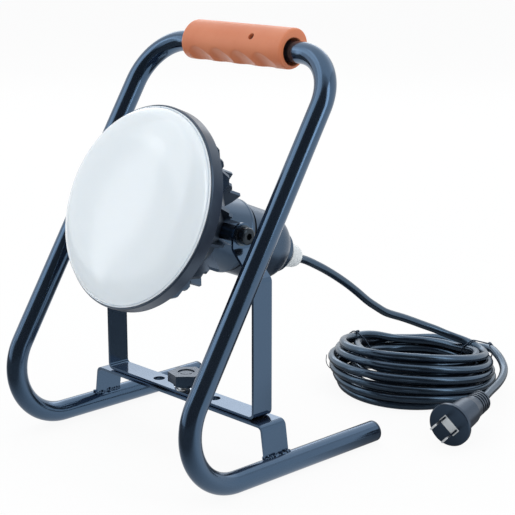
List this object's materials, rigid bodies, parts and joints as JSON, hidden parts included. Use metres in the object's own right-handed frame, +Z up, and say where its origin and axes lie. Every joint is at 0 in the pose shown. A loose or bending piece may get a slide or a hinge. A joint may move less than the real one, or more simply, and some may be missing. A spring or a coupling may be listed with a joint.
{
  "type": "work light",
  "caption": "Portable lamp: bent tube stand with moulded grip, panning yoke, tilting finned head with domed lens, coiled mains cord with plug.",
  "frame": {"origin": "on the ground, under the middle of the object's box without its cord", "axes": "+Z up; the lamp faces -Y; +X across, along the grip"},
  "size_m": [0.2746, 0.387, 0.3129],
  "materials": {
    "paint": "semi-gloss blue-black powder coat",
    "cast": "satin blue-black coat on a casting",
    "grip": "moulded orange, fine grain",
    "bright": "bright zinc plate",
    "steel": "plain",
    "black_plastic": "fine moulded grain",
    "black_steel": "black oxide",
    "diffuser": "milky polycarbonate",
    "rubber": "plain",
    "cord": "smooth black sheath with a soft sheen",
    "pale_plastic": "translucent pale nylon",
    "board": "white solder mask",
    "chip": "phosphor",
    "circuit": "solder mask",
    "component": "moulded",
    "brass": "plain"
  },
  "bodies": {
    "stand": {"stand_tube": "paint", "runner_caps": "black_plastic", "handle_grip": "grip", "grip_screw": "steel", "crossbar": "paint", "weld_beads": "paint", "pan_bolt": "bright", "friction_disc": "rubber", "cord_lead": "cord", "cord_coil": "cord", "cord_tail": "cord", "cord_ties": "steel", "plug_body": "rubber", "plug_insert": "pale_plastic", "plug_blades": "brass"},
    "swivel": {"yoke": "paint", "pan_washer": "bright", "pan_spring_washer": "bright"},
    "knob": {"pan_knob": "black_plastic", "knob_cap": "black_plastic", "knob_nut": "brass"},
    "head": {"heat_sink": "cast", "tilt_bolts": "black_steel", "tilt_washers": "bright", "tilt_discs": "rubber", "front_ring": "black_plastic", "lens": "diffuser", "lens_gasket": "rubber", "led_board": "board", "led_chips": "chip", "board_screws": "steel", "driver_collar": "cast", "driver_board": "circuit", "driver_parts": "component", "housing_seal": "rubber", "rear_drum": "cast", "housing_screws": "steel", "rear_cap": "cast", "gland_body": "black_plastic", "gland_seal": "rubber", "gland_nut": "pale_plastic", "cord_entry": "cord", "inner_leads": "component"}
  },
  "joints": [
    {"name": "yoke_pan", "type": "hinge", "parent": "stand", "child": "swivel", "pos_m": [0, -0.01364, 0.0404], "axis": [0, 0, 1], "range_deg": [-45, 45], "deforming": ["cord_lead"]},
    {"name": "lamp_tilt", "type": "hinge", "parent": "swivel", "child": "head", "pos_m": [0, -0.01364, 0.1713], "axis": [-1, 0, 0], "range_deg": [-67, 45], "deforming": ["cord_lead"]},
    {"name": "knob_turn", "type": "hinge", "parent": "stand", "child": "knob", "pos_m": [0, -0.01364, 0.05], "axis": [0, 0, 1], "range_deg": [0, 360]}
  ]
}
